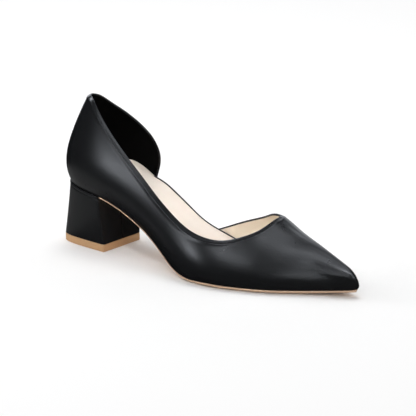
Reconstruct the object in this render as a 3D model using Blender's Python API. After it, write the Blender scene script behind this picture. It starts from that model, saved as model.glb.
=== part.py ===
"""High heel: a right-foot pump with a pointed toe, one open side and a flared block heel.

Tables and sizes are in millimetres and become metres when a mesh is made. +X runs to the toe, +Y to
the inner (medial) side of the foot, +Z up from the floor. The body of the shoe follows a last: a
feather line runs round its bottom edge, a spine runs along its top, and ribs rise from one to the other.
"""
import math
from collections import namedtuple

import bmesh
import bpy
import numpy as np

MM = 0.001
GAP = 0.3
WALL = 1.8

# Pieces of the bottom
SOLE_WAIST = 1.2
SOLE_FOREPART = 2.5
SOLE_TOE = 1.7
SOLE_TOE_FROM_X = 205.0
SOLE_INSET = 0.4
SOLE_FLAT_MARGIN = 0.15
BOARD_THICK = 2.4
BOARD_TOE_X = 235.0
BOARD_EDGE_INSET = 0.2
WALL_CLEARANCE = 2.6
SOCK_THICK = 1.2
SOCK_TOE_X = 232.0
SOCK_EDGE_INSET = 1.1
HEEL_CUP_RISE = 6.0
HEEL_CUP_START_X = 60.0
HEEL_CUP_FULL_X = 30.0
SEAT_DISH = 2.0
SEAT_WIDTH = 45.0
DISH_POWER = 2
CUP_POWER = 4

# Heel block and its top piece
BREAST_TOP_X = 38.6
BREAST_FOOT_X = 41.4
HEEL_BACK_FOOT_X = -5.7
HEEL_FOOT_LATERAL_Y = -22.0
HEEL_FOOT_MEDIAL_Y = 20.4
HEEL_FOOT_TAPER = 0.22
HEEL_FOOT_SQUARENESS = 5.0
TOP_PIECE_HEIGHT = 5.5

# Open inner side, between the counter's lobe and the vamp
OPEN_BACK_X = 59.0
OPEN_FRONT_X = 108.0
OPEN_EASE = 4.0
LOBE_BOW = 5.0
LOBE_BOW_SCALE = 27 / 4
LOBE_FOOT_X = 57.3
LOBE_BOW_FADE_X = 25.0

# Mesh densities
RIB_STEPS = 10
RIB_CROWDING = 1.3
RIM_SUBDIVISION = 2
SLAB_STEP = 0.5
HEEL_STEP = 0.25
SLAB_COLUMNS = 8

# Feather line: where the upper's wall meets the sole, outer (lateral) and inner (medial) side
Feather = namedtuple("Feather", "x lateral_y lateral_z medial_y medial_z")
FEATHER_BACK = (-2.7, 0.0, 47.9)
FEATHER_TIP = (245.4, 2.6, 6.0)
FEATHER = [
    Feather(2, -11.0, 47.4, 11.0, 48.6),
    Feather(10, -18.3, 46.4, 17.8, 48.9),
    Feather(22, -22.4, 44.7, 21.2, 49.1),
    Feather(38, -23.8, 42.2, 21.8, 48.9),
    Feather(55, -24.2, 37.4, 20.2, 47.6),
    Feather(70, -25.2, 31.3, 18.5, 41.6),
    Feather(85, -27.4, 24.3, 18.2, 32.6),
    Feather(100, -31.2, 15.7, 19.8, 22.9),
    Feather(115, -36.2, 7.3, 23.6, 15.4),
    Feather(130, -40.2, 2.9, 28.2, 8.6),
    Feather(145, -41.5, 2.8, 31.8, 4.4),
    Feather(160, -39.7, 2.8, 33.8, 2.9),
    Feather(175, -35.6, 2.8, 33.4, 2.8),
    Feather(190, -29.4, 2.8, 29.8, 2.8),
    Feather(205, -20.8, 3.0, 23.6, 3.0),
    Feather(220, -11.8, 3.6, 16.2, 3.6),
    Feather(234, -4.2, 4.6, 9.2, 4.6),
    Feather(242, -0.7, 5.5, 5.9, 5.5),
]

# Spine: the top line of the last, from above the heel over the instep and the vamp's ridge to the toe
Spine = namedtuple("Spine", "x y z")
SPINE = [
    Spine(30, 1.0, 128.0),
    Spine(50, 0.5, 118.0),
    Spine(75, 0.0, 104.0),
    Spine(100, 0.0, 89.0),
    Spine(125, 1.0, 74.0),
    Spine(150, 2.0, 59.0),
    Spine(168, 2.6, 50.2),
    Spine(182, 3.2, 44.5),
    Spine(195, 3.4, 38.0),
    Spine(209, 3.2, 31.9),
    Spine(222, 3.0, 26.1),
    Spine(232, 2.8, 21.7),
    Spine(236.5, 2.7, 19.8),
]
SPINE_EASE = 3.0
RIDGE_END_SLOPE = (SPINE[-2].z - SPINE[-1].z) / (SPINE[-1].x - SPINE[-2].x)

# Rib shape: fullness below the shoulder, roundness at the spine, and how far the wall swells out
Rib = namedtuple("Rib", "x fullness roundness swell")
RIBS = [
    Rib(0, 1.9, 1.6, 0.15),
    Rib(40, 2.0, 1.6, 0.22),
    Rib(80, 1.9, 1.6, 0.16),
    Rib(120, 1.8, 1.6, 0.10),
    Rib(150, 1.65, 1.75, 0.08),
    Rib(180, 1.5, 2.0, 0.08),
    Rib(210, 1.6, 1.9, 0.10),
    Rib(228, 2.1, 1.85, 0.12),
    Rib(240, 3.0, 2.0, 0.12),
    Rib(250, 3.0, 2.0, 0.12),
]
SWELL_PEAK = 0.25

# Upper edge of the upper: where the rib ends (x on the feather line and share of its height) and
# where that rib stands on the feather line
Rim = namedtuple("Rim", "x share foot_x")
LOBE_RIM = [
    Rim(54.5, 0.51, LOBE_FOOT_X),
    Rim(48.5, 0.55, 49),
    Rim(41.5, 0.58, 41.5),
    Rim(34, 0.605, 34),
    Rim(26, 0.635, 26),
    Rim(17.5, 0.675, 17.5),
    Rim(9.5, 0.72, 9.5),
    Rim(2, 0.762, 2),
]
BACK_RIM_SHARE = 0.785
COLLAR_RIM = [
    Rim(4, 0.795, 4),
    Rim(14, 0.79, 14),
    Rim(25, 0.748, 25),
    Rim(42, 0.64, 42),
    Rim(59, 0.552, 59),
    Rim(76, 0.483, 76),
    Rim(94, 0.443, 93),
    Rim(111, 0.456, 109),
    Rim(128, 0.471, 124),
    Rim(142, 0.493, 137),
    Rim(154, 0.54, 148),
    Rim(163.5, 0.63, 158),
    Rim(171.5, 0.75, 167),
    Rim(177, 0.87, 175),
    Rim(179.4, 0.965, 182),
    Rim(179.7, 1.0, 188),
]
RIDGE_RIM = [
    Rim(179.7, 1.0, 188),
    Rim(188, 1.0, 195),
    Rim(197, 1.0, 203),
    Rim(207, 1.0, 211),
    Rim(217, 1.0, 219.5),
    Rim(226, 1.0, 227),
    Rim(233, 1.0, 233.5),
    Rim(238.5, 1.0, 238.5),
    Rim(242.5, 1.0, 242.5),
]
VAMP_RIM = [
    Rim(179.7, 1.0, 188),
    Rim(176.5, 0.955, 181),
    Rim(170.5, 0.875, 172),
    Rim(163.5, 0.785, 163),
    Rim(153, 0.62, 151),
    Rim(140, 0.44, 138),
    Rim(129, 0.29, 127.5),
    Rim(119.5, 0.15, 118),
    Rim(111, 0.03, 111),
]

# Finishes: sRGB colour and roughness
Finish = namedtuple("Finish", "red green blue roughness")
BLACK_LEATHER = Finish(0.055, 0.057, 0.062, 0.42)
TAN_SOLE = Finish(0.86, 0.71, 0.58, 0.55)
TAN_TOP_PIECE = Finish(0.77, 0.60, 0.42, 0.60)
CREAM_SOCK = Finish(0.93, 0.89, 0.84, 0.65)
HALF = 0.5
MERGE_DISTANCE = 0.00002


def natural_spline(knots, values):
    """Return a smooth curve through values at the knots, straight at both ends."""
    knots = np.asarray(knots, float)
    values = np.asarray(values, float)
    count = len(knots)
    steps = np.diff(knots)
    matrix = np.eye(count)
    slopes = np.diff(values, axis=0) / steps[:, None]
    right = np.zeros_like(values)
    for i in range(1, count - 1):
        matrix[i, i - 1:i + 2] = steps[i - 1], 2 * (steps[i - 1] + steps[i]), steps[i]
        right[i] = 6 * (slopes[i] - slopes[i - 1])
    bends = np.linalg.solve(matrix, right)

    def curve(at):
        at = np.asarray(at, float)
        i = np.clip(np.searchsorted(knots, at) - 1, 0, count - 2)
        step = steps[i][..., None]
        ahead = at[..., None] - knots[i][..., None]
        behind = step - ahead
        start = values[i] / step - bends[i] * step / 6
        end = values[i + 1] / step - bends[i + 1] * step / 6
        return (bends[i] * behind**3 + bends[i + 1] * ahead**3) / (6 * step) + start * behind + end * ahead

    return curve


def closed_spline(points):
    """Return a smooth closed curve that passes point i at parameter i."""
    points = np.asarray(points, float)
    count = len(points)
    matrix = 4 * np.eye(count) + np.roll(np.eye(count), 1, 0) + np.roll(np.eye(count), -1, 0)
    bends = np.linalg.solve(matrix, 6 * (np.roll(points, -1, 0) - 2 * points + np.roll(points, 1, 0)))

    def curve(at):
        at = np.mod(np.asarray(at, float), count)
        i = np.floor(at).astype(int) % count
        j = (i + 1) % count
        ahead = (at - np.floor(at))[..., None]
        behind = 1 - ahead
        bend = bends[i] * (behind**3 - behind) + bends[j] * (ahead**3 - ahead)
        return bend / 6 + points[i] * behind + points[j] * ahead

    return curve


def smooth_step(value):
    """Ease from 0 at value 0 to 1 at value 1."""
    value = np.clip(value, 0, 1)
    return value * value * (3 - 2 * value)


# Stations count round the feather line: 0 at the back, TOE at the tip by the lateral side, and on to
# TWICE the toe's count back at the heel by the medial side
TOE = len(FEATHER) + 1
TWICE = 2 * TOE
feather_line = closed_spline(
    [FEATHER_BACK]
    + [(row.x, row.lateral_y, row.lateral_z) for row in FEATHER]
    + [FEATHER_TIP]
    + [(row.x, row.medial_y, row.medial_z) for row in reversed(FEATHER)]
)
spine_curve = natural_spline([row.x for row in SPINE], [(row.y, row.z) for row in SPINE])
rib_shape = natural_spline([row.x for row in RIBS], [row[1:] for row in RIBS])


def station(x):
    """Station of the lateral side at length x; the medial one is its negative."""
    stations = np.linspace(0, TOE, 2000)
    return np.interp(x, feather_line(stations)[:, 0], stations)


def spine_point(x):
    """Spine point of the rib at length x; ribs beyond the spine's ends fan out from them."""
    low, high = SPINE[0].x, SPINE[-1].x
    eased = low + SPINE_EASE * np.logaddexp(0, (x - low) / SPINE_EASE)
    eased = high - SPINE_EASE * np.logaddexp(0, (high - eased) / SPINE_EASE)
    eased = np.clip(eased, low, high)
    return np.concatenate([eased[..., None], spine_curve(eased)], -1)


def last_point(stations, share):
    """Point on the last: share 0 lies on the feather line and share 1 on the spine.

    The plan distance from the spine falls as (1 - share^fullness)^(1 / roundness), and a swell that
    peaks low on the wall pushes it out. Ahead of the spine's end the top runs on at the ridge's slope.
    """
    foot = feather_line(stations)
    top = spine_point(foot[..., 0])
    shape = rib_shape(np.clip(foot[..., 0], RIBS[0].x, RIBS[-1].x))
    fullness, roundness, swell = shape[..., 0], shape[..., 1], shape[..., 2]
    bulge = share * (1 - share)**3 / (SWELL_PEAK * (1 - SWELL_PEAK)**3)
    reach = np.clip(1 - share**fullness, 0, 1)**(1 / roundness) * (1 + swell * bulge)
    plan = top[..., :2] + (foot[..., :2] - top[..., :2]) * reach[..., None]
    crest = top[..., 2] - RIDGE_END_SLOPE * np.maximum(plan[..., 0] - top[..., 0], 0)
    height = foot[..., 2] + (crest - foot[..., 2]) * share
    return np.concatenate([plan, height[..., None]], -1)


def inward(stations):
    """Level unit vector from the feather line towards the inside of the shoe."""
    nudge = 0.01
    along = feather_line(stations + nudge)[..., :2] - feather_line(stations - nudge)[..., :2]
    along /= np.linalg.norm(along, axis=-1, keepdims=True)
    return np.stack([-along[..., 1], along[..., 0]], -1)


def edge_point(stations, rise, inset):
    """Point on the last's wall, rise above the feather line and inset towards the inside."""
    foot = feather_line(stations)
    share = rise / (spine_point(foot[..., 0])[..., 2] - foot[..., 2])
    point = last_point(stations, np.clip(share, 0, 1))
    point[..., :2] += inward(stations) * np.asarray(inset)[..., None]
    return point


def rim_chain(rows):
    """Spread rim rows (station, rib angle, foot station) into ribs along a smooth curve."""
    rows = np.asarray(rows, float)
    steps = np.arange(len(rows))
    curve = natural_spline(steps, rows)
    return curve(np.linspace(0, steps[-1], RIM_SUBDIVISION * steps[-1] + 1))


def rim_row(row, side):
    """Rim row as (station, rib angle, foot station), side +1 lateral or -1 medial."""
    return side * station(row.x), math.asin(row.share), side * station(row.foot_x)


def upper_ribs():
    """Rim of every rib, from the lobe's front edge round the heel and the toe to the vamp's end."""
    counter = [rim_row(row, -1) for row in LOBE_RIM]
    counter.append((0.0, math.asin(BACK_RIM_SHARE), 0.0))
    counter += [rim_row(row, 1) for row in COLLAR_RIM]
    ridge = [rim_row(row, 1) for row in RIDGE_RIM]
    ridge.append((TOE, math.pi / 2, TOE))
    ridge = rim_chain(ridge)
    far_ridge = ridge[::-1] * (-1, 1, -1) + (TWICE, 0, TWICE)
    vamp = rim_chain([rim_row(row, -1) for row in VAMP_RIM]) + (TWICE, 0, TWICE)
    return np.concatenate([rim_chain(counter), ridge[1:], far_ridge[1:], vamp[1:]])


def upper_grid():
    """Outer surface of the upper: one line of points up each rib, closer together near the sole."""
    ribs = upper_ribs()
    up = np.linspace(0, 1, RIB_STEPS + 1)**RIB_CROWDING
    end, angle, foot = (column[:, None] for column in ribs.T)
    lobe_front, lobe_back = station(LOBE_FOOT_X), station(LOBE_BOW_FADE_X)
    lobe = smooth_step((-foot - lobe_back) / (lobe_front - lobe_back))
    forward = station(LOBE_FOOT_X + LOBE_BOW) - lobe_front
    bow = -forward * lobe * up**2 * (1 - up) * LOBE_BOW_SCALE
    return last_point(foot + (end - foot) * up + bow, np.sin(angle * up))


def srgb_to_linear(value):
    """Linear value of an sRGB channel."""
    if value <= 0.04045:
        return value / 12.92
    return ((value + 0.055) / 1.055)**2.4


def material(name, finish):
    """Principled material of one finish."""
    made = bpy.data.materials.new(name)
    made.use_nodes = True
    shader = made.node_tree.nodes["Principled BSDF"]
    colour = [srgb_to_linear(value) for value in finish[:3]]
    shader.inputs["Base Color"].default_value = (*colour, 1.0)
    shader.inputs["Roughness"].default_value = finish.roughness
    shader.inputs["Metallic"].default_value = 0.0
    return made


def mesh_object(name, points, faces, finish, parent):
    """Object from points in millimetres, with coincident points merged and faces turned outwards."""
    mesh = bpy.data.meshes.new(name)
    mesh.from_pydata((np.asarray(points) * MM).tolist(), [], faces)
    work = bmesh.new()
    work.from_mesh(mesh)
    bmesh.ops.remove_doubles(work, verts=work.verts, dist=MERGE_DISTANCE)
    bmesh.ops.recalc_face_normals(work, faces=work.faces)
    work.to_mesh(mesh)
    work.free()
    mesh.shade_smooth()
    mesh.set_sharp_from_angle(angle=math.radians(40))
    mesh.materials.append(material(name, finish))
    made = bpy.data.objects.new(name, mesh)
    bpy.context.collection.objects.link(made)
    made.parent = parent
    return made


def grid_faces(rows, columns, start=0):
    """Four-sided faces of a grid of points laid row by row."""
    return [
        (start + i * columns + j, start + i * columns + j + 1,
         start + (i + 1) * columns + j + 1, start + (i + 1) * columns + j)
        for i in range(rows - 1)
        for j in range(columns - 1)
    ]


def slab(name, top, bottom, finish, parent):
    """Solid between two grids of the same size, closed round their edges."""
    rows, columns = top.shape[:2]
    lower = rows * columns
    faces = grid_faces(rows, columns) + [face[::-1] for face in grid_faces(rows, columns, lower)]
    rim = [(0, j) for j in range(columns - 1)]
    rim += [(i, columns - 1) for i in range(rows - 1)]
    rim += [(rows - 1, j) for j in range(columns - 1, 0, -1)]
    rim += [(i, 0) for i in range(rows - 1, 0, -1)]
    ring = [i * columns + j for i, j in rim]
    for here, after in zip(ring, ring[1:] + ring[:1]):
        faces.append((here, here + lower, after + lower, after))
    points = np.concatenate([top.reshape(-1, 3), bottom.reshape(-1, 3)])
    return mesh_object(name, points, faces, finish, parent)


def across(lateral, medial):
    """Grid across the shoe between two edges."""
    share = np.linspace(0, 1, SLAB_COLUMNS + 1)[:, None]
    return lateral[:, None] * (1 - share) + medial[:, None] * share


def dished(grid, depth, power):
    """Copy of a grid sunk between its edges, less where it is narrow; a high power keeps it flat."""
    sunk = grid.copy()
    width = np.linalg.norm(grid[:, -1] - grid[:, 0], axis=-1)
    hollow = 1 - np.abs(np.linspace(-1, 1, grid.shape[1]))**power
    sunk[..., 2] -= (depth * np.minimum(width / SEAT_WIDTH, 1)**2)[:, None] * hollow
    return sunk


def seat_dish(x):
    """How far the bottom is dished across at length x: most under the heel, none under the ball."""
    return SEAT_DISH * (1 - smooth_step((x - BREAST_TOP_X) / (FEATHER[9].x - BREAST_TOP_X)))


def openness(x):
    """1 on the open inner side, easing to 0 where the upper's wall stands."""
    return smooth_step((x - OPEN_BACK_X) / OPEN_EASE) * smooth_step((OPEN_FRONT_X - x) / OPEN_EASE)


def rows_between(start, end, step):
    """Stations from start to end, those between at common places so that stacked pieces line up."""
    corners = [OPEN_BACK_X, OPEN_BACK_X + OPEN_EASE, OPEN_FRONT_X - OPEN_EASE, OPEN_FRONT_X]
    common = np.concatenate([np.arange(0, TOE, step), station(corners)])
    inner = common[(common > start) & (common < end)]
    return np.concatenate([[start], np.sort(inner), [end]])


def layer(stations, rise, wall_inset, open_inset):
    """Grid over the bottom of the shoe at a rise above the feather line, clear of the wall.

    The bottom is twisted, higher on the medial side, so an edge that is set in follows its slope.
    """
    lateral_foot = feather_line(stations)
    medial_foot = feather_line(TWICE - stations)
    x = lateral_foot[:, 0]
    width = np.maximum(medial_foot[:, 1] - lateral_foot[:, 1], 1)
    twist = (medial_foot[:, 2] - lateral_foot[:, 2]) / width
    medial_inset = wall_inset + (open_inset - wall_inset) * openness(x)
    lateral = edge_point(stations, rise, np.full(len(stations), wall_inset))
    medial = edge_point(TWICE - stations, rise, medial_inset)
    lateral[:, 2] += twist * (lateral[:, 1] - lateral_foot[:, 1])
    medial[:, 2] += twist * (medial[:, 1] - medial_foot[:, 1])
    return dished(across(lateral, medial), seat_dish(x), DISH_POWER)


def lowered(grid, drop):
    """Copy of a grid, lower by drop."""
    lower = grid.copy()
    lower[..., 2] -= drop
    return lower


def make_upper(parent):
    """Upper: one leather wall round heel, outer side and toe, open at the top and the inner side."""
    grid = upper_grid()
    rows, columns = grid.shape[:2]
    made = mesh_object("upper", grid.reshape(-1, 3), grid_faces(rows, columns), BLACK_LEATHER, parent)
    thicken = made.modifiers.new("wall", "SOLIDIFY")
    thicken.thickness = WALL * MM
    thicken.offset = -1
    thicken.use_even_offset = True
    return made


def make_outsole(parent):
    """Outsole: from the heel breast along the arch to the toe, flat under the ball."""
    stations = rows_between(station(BREAST_TOP_X + 2 * GAP), TOE, SLAB_STEP)
    x = feather_line(stations)[:, 0]
    top = lowered(layer(stations, np.zeros(len(x)), SOLE_INSET, SOLE_INSET), GAP)
    forepart = smooth_step((x - FEATHER[6].x) / (FEATHER[9].x - FEATHER[6].x))
    toe = smooth_step((x - SOLE_TOE_FROM_X) / (FEATHER_TIP[0] - SOLE_TOE_FROM_X))
    thick = SOLE_WAIST + (SOLE_FOREPART - SOLE_WAIST) * forepart + (SOLE_TOE - SOLE_FOREPART) * toe
    bottom = lowered(top, thick[:, None])
    bottom[..., 2] = np.maximum(bottom[..., 2] - SOLE_FLAT_MARGIN * forepart[:, None], 0)
    return slab("outsole", top, bottom, TAN_SOLE, parent)


def make_insole_board(parent):
    """Insole board: closes the upper underneath; its wrapped edge shows on the open side."""
    stations = rows_between(0, station(BOARD_TOE_X), SLAB_STEP)
    base = np.zeros(len(stations))
    bottom = layer(stations, base, WALL_CLEARANCE, BOARD_EDGE_INSET)
    top = layer(stations, base + BOARD_THICK, WALL_CLEARANCE, BOARD_EDGE_INSET)
    return slab("insole_board", top, bottom, BLACK_LEATHER, parent)


def make_sock(parent):
    """Sock: the pale lining that the foot stands on, cupped up round the heel."""
    stations = rows_between(0, station(SOCK_TOE_X), SLAB_STEP)
    x = feather_line(stations)[:, 0]
    base = np.full(len(x), BOARD_THICK + GAP)
    cup = HEEL_CUP_RISE * smooth_step((HEEL_CUP_START_X - x) / (HEEL_CUP_START_X - HEEL_CUP_FULL_X))
    bottom = layer(stations, base, WALL_CLEARANCE, SOCK_EDGE_INSET)
    top = layer(stations, base + SOCK_THICK + cup, WALL_CLEARANCE, SOCK_EDGE_INSET)
    return slab("sock", dished(top, cup, CUP_POWER), bottom, CREAM_SOCK, parent)


def make_heel(parent):
    """Heel block, covered in the upper's leather, and the tan top piece that it stands on.

    The foot narrows from the breast to a squarely rounded back: its half width at a share t of its
    length is (1 - taper t) (1 - t^squareness)^(1 / squareness) of the width at the breast.
    """
    stations = rows_between(0, station(BREAST_TOP_X), HEEL_STEP)
    seat = lowered(layer(stations, np.zeros(len(stations)), GAP, GAP), GAP)
    back = 1 - (feather_line(stations)[:, 0] - FEATHER_BACK[0]) / (BREAST_TOP_X - FEATHER_BACK[0])
    back = np.clip(back, 0, 1)
    width = (1 - HEEL_FOOT_TAPER * back) * (1 - back**HEEL_FOOT_SQUARENESS)**(1 / HEEL_FOOT_SQUARENESS)
    foot_x = BREAST_FOOT_X + (HEEL_BACK_FOOT_X - BREAST_FOOT_X) * back
    height = np.full(len(stations), TOP_PIECE_HEIGHT + GAP)
    lateral = np.stack([foot_x, HEEL_FOOT_LATERAL_Y * width, height], -1)
    medial = np.stack([foot_x, HEEL_FOOT_MEDIAL_Y * width, height], -1)
    foot = across(lateral, medial)
    heel = slab("heel", seat, foot, BLACK_LEATHER, parent)
    tread = lowered(foot, GAP)
    ground = tread.copy()
    ground[..., 2] = 0
    top_piece = slab("top_piece", tread, ground, TAN_TOP_PIECE, parent)
    return heel, top_piece


def centre_frame(frame, pieces):
    """Put the origin on the floor under the middle of the shoe."""
    corners = np.concatenate([[vertex.co for vertex in piece.data.vertices] for piece in pieces])
    middle = (corners.min(0) + corners.max(0)) * HALF
    frame.location = (-middle[0], -middle[1], 0)


def main():
    for old in list(bpy.data.objects):
        bpy.data.objects.remove(old)
    frame = bpy.data.objects.new("shoe_frame", None)
    bpy.context.collection.objects.link(frame)
    pieces = [make_upper(frame), make_outsole(frame), make_insole_board(frame), make_sock(frame)]
    pieces += make_heel(frame)
    centre_frame(frame, pieces)


main()
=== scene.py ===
"""Looks of a right-foot pump: black calf upper, linings, sock, tan sole and covered block heel.

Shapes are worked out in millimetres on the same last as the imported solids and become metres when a
mesh is written. +X runs to the toe, +Y to the inner (medial) side of the foot, +Z up from the floor.
"""
import logging
import math
from dataclasses import dataclass
from enum import Enum
from typing import NamedTuple

import bmesh
import bpy
import numpy as np
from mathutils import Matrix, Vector


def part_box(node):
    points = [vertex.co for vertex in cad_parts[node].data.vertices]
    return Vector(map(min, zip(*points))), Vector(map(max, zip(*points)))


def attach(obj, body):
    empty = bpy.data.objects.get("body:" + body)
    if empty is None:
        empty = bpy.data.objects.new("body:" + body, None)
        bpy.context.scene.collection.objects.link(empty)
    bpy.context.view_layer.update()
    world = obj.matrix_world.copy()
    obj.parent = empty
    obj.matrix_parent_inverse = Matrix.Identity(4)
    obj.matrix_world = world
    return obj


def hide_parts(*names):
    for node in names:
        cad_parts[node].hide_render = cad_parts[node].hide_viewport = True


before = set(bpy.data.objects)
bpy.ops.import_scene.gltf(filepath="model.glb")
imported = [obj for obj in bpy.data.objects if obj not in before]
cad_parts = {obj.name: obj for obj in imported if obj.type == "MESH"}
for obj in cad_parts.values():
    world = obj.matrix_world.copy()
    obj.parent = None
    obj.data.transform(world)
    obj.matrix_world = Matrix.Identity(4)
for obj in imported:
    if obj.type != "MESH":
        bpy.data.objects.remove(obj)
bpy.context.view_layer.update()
MM = 0.001
GAP = 0.3
TINY = 1e-9
MERGE_MM = 0.001
LINING_GAP = 0.02
BLOCK = 2000
CREASE_STEPS = 60
POLISH = "polish"
LOG = logging.getLogger("pump")
Array = np.ndarray
UP = np.array([0.0, 0.0, 1.0])


class Slot(Enum):
    """Names of the record's material slots."""

    UPPER = "upper_leather"
    OUTSOLE = "outsole"
    BOARD = "wrapped_board"
    SOCK = "sock_lining"
    HEEL = "heel_leather"
    TOP_PIECE = "top_piece"


class Side(Enum):
    """Side of the foot, as the sign of its stations on the feather line."""

    LATERAL = 1
    MEDIAL = -1


class FeatherRow(NamedTuple):
    """Where the wall meets the sole at one length, on the outer and on the inner side."""

    x: float
    lateral_y: float
    lateral_z: float
    medial_y: float
    medial_z: float


class SpineRow(NamedTuple):
    """A point of the last's top line."""

    x: float
    y: float
    z: float


class RibRow(NamedTuple):
    """Shape of the ribs at one length: fullness below, roundness at the spine, swell of the wall."""

    x: float
    fullness: float
    roundness: float
    swell: float


class RimRow(NamedTuple):
    """Where a rib ends (length and share of its height) and where it stands on the feather line."""

    x: float
    share: float
    foot_x: float


def smooth_step(value: Array) -> Array:
    """Ease from 0 at value 0 to 1 at value 1: 3 v^2 - 2 v^3."""
    value = np.clip(value, 0, 1)
    return value * value * (3 - 2 * value)


def bell(value: Array, middle: float, width: float) -> Array:
    """Bell curve of height 1: e to the minus square of the distance from the middle over the width."""
    return np.exp(-(((value - middle) / width) ** 2))


def unit(vectors: Array) -> Array:
    """Vectors of length 1 in the same directions."""
    return vectors / np.maximum(np.linalg.norm(vectors, axis=-1, keepdims=True), TINY)


class Spline:
    """Cubic curve through rows of values, with continuous bends, open over its knots or closed."""

    def __init__(self, values: Array, knots: Array | None = None) -> None:
        """Solve the curve's bends, which vanish at the ends of an open curve.

        Args:
            values: one row for each knot.
            knots: rising places of the values; without them the curve closes and passes row i at i.
        """
        self.values = np.asarray(values, float)
        self.closed = knots is None
        count = len(self.values)
        if knots is None:
            matrix = 4 * np.eye(count) + np.roll(np.eye(count), 1, 0) + np.roll(np.eye(count), -1, 0)
            turn = np.roll(self.values, -1, 0) - 2 * self.values + np.roll(self.values, 1, 0)
            ring = np.arange(count + 1) % count
            self.knots = np.arange(count + 1.0)
            self.bends = np.linalg.solve(matrix, 6 * turn)[ring]
            self.values = self.values[ring]
            self.steps = np.diff(self.knots)
            return
        self.knots = np.asarray(knots, float)
        self.steps = np.diff(self.knots)
        slopes = np.diff(self.values, axis=0) / self.steps[:, None]
        inner = np.arange(1, count - 1)
        matrix = np.eye(count)
        matrix[inner, inner - 1] = self.steps[:-1]
        matrix[inner, inner] = 2 * (self.steps[:-1] + self.steps[1:])
        matrix[inner, inner + 1] = self.steps[1:]
        right = np.zeros_like(self.values)
        right[1:-1] = 6 * np.diff(slopes, axis=0)
        self.bends = np.linalg.solve(matrix, right)

    def __call__(self, at: Array) -> Array:
        """Values of the curve.

        Args:
            at: places along the knots, taken round a closed curve.

        Returns:
            One row for each place.
        """
        at = np.asarray(at, float)
        if self.closed:
            at = np.mod(at, self.knots[-1])
        i = np.clip(np.searchsorted(self.knots, at) - 1, 0, len(self.steps) - 1)
        step = self.steps[i][..., None]
        ahead = at[..., None] - self.knots[i][..., None]
        behind = step - ahead
        start = self.values[i] / step - self.bends[i] * step / 6
        end = self.values[i + 1] / step - self.bends[i + 1] * step / 6
        cubic = (self.bends[i] * behind**3 + self.bends[i + 1] * ahead**3) / (6 * step)
        return cubic + start * behind + end * ahead


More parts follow.
